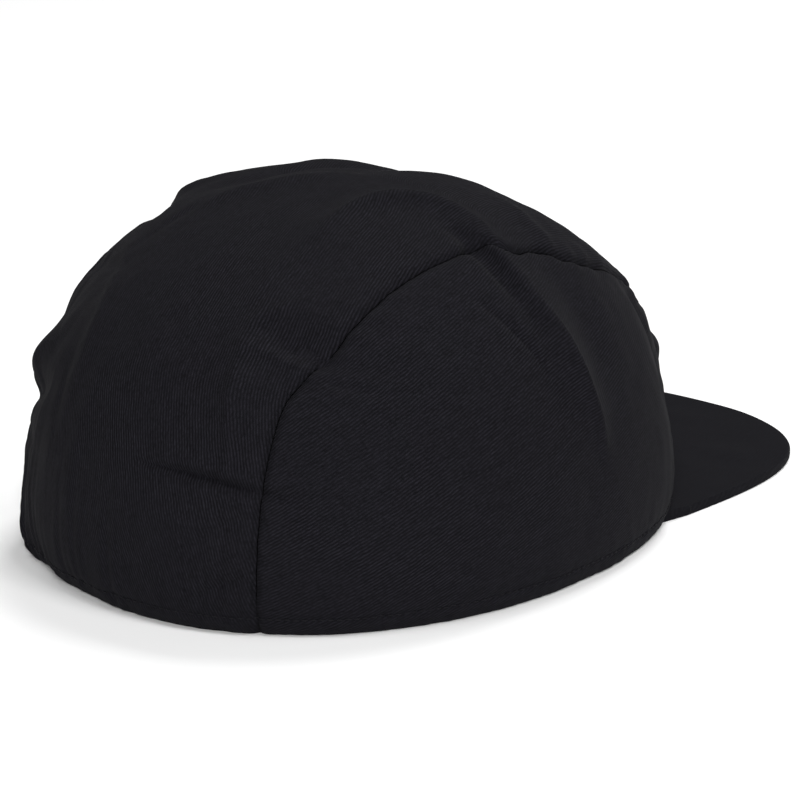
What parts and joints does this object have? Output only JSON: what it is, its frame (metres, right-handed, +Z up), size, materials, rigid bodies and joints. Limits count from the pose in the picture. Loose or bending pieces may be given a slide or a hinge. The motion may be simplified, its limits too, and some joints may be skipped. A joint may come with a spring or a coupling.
{
  "type": "jockey cap",
  "caption": "Soft jockey cap with a centre strip, arched side panels, a turned hem gathered at the nape and a flat stiff peak.",
  "frame": {"origin": "middle of the cap's box, at its bottom, where the rim and the peak rest on a surface", "axes": "+Z up, the peak points to -Y, the wearer's left is +X"},
  "size_m": [0.1665, 0.2644, 0.104],
  "materials": {
    "cloth": "soft black cotton twill, matt",
    "peak_cloth": "black cotton twill drawn smooth over a stiff peak"
  },
  "bodies": {
    "root": {"centre_strip": "cloth", "side_panel_right": "cloth", "side_panel_left": "cloth", "peak": "peak_cloth"}
  },
  "joints": []
}
